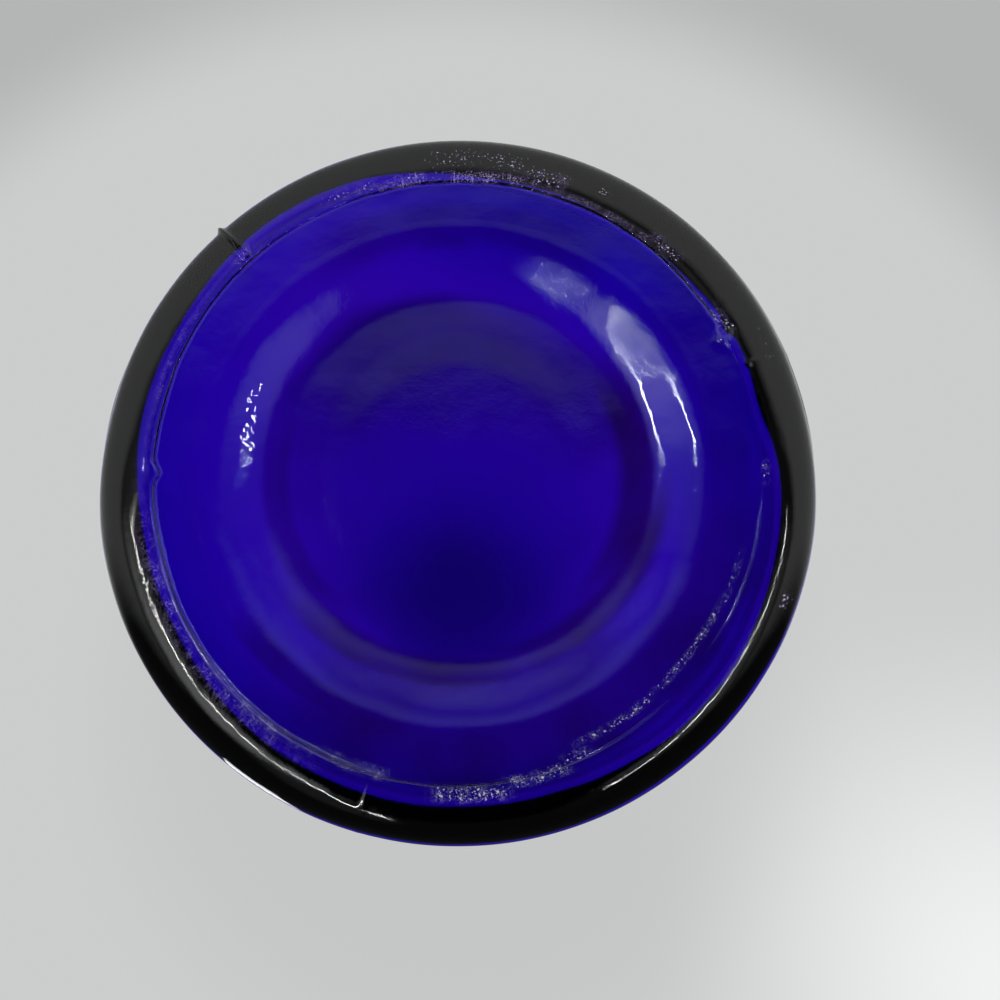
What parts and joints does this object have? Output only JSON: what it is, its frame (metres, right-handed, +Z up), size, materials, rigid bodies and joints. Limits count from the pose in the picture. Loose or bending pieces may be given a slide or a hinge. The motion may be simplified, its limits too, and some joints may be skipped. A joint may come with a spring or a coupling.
{
  "type": "genie bottle decanter",
  "caption": "Cobalt glass decanter with a wide round body, stepped push-up base, slender ringed neck and flared lip, closed by a hollow glass stopper on a cork sleeve that lifts out and turns.",
  "frame": {"origin": "centre of the flat ring on the underside that the bottle stands on", "axes": "+Z up along the bottle's axis, from the base to the stopper's tip; X and Y are level and equivalent on the round body"},
  "size_m": [0.112, 0.112, 0.3502],
  "materials": {
    "cobalt_glass": "glossy moulded glass with fine wear on the rest ring",
    "stopper_glass": "glossy blown glass",
    "cork": "bare natural cork"
  },
  "bodies": {
    "bottle": {"bottle": "cobalt_glass"},
    "cork": {"cork_sleeve": "cork"},
    "stopper": {"stopper": "stopper_glass"}
  },
  "joints": [
    {"name": "stopper_lift", "type": "slide", "parent": "bottle", "child": "cork", "axis": [0, 0, 1], "range_m": [0, 0.07]},
    {"name": "stopper_turn", "type": "hinge", "parent": "cork", "child": "stopper", "pos_m": [0, 0, 0.2282], "axis": [0, 0, 1], "continuous": true}
  ]
}
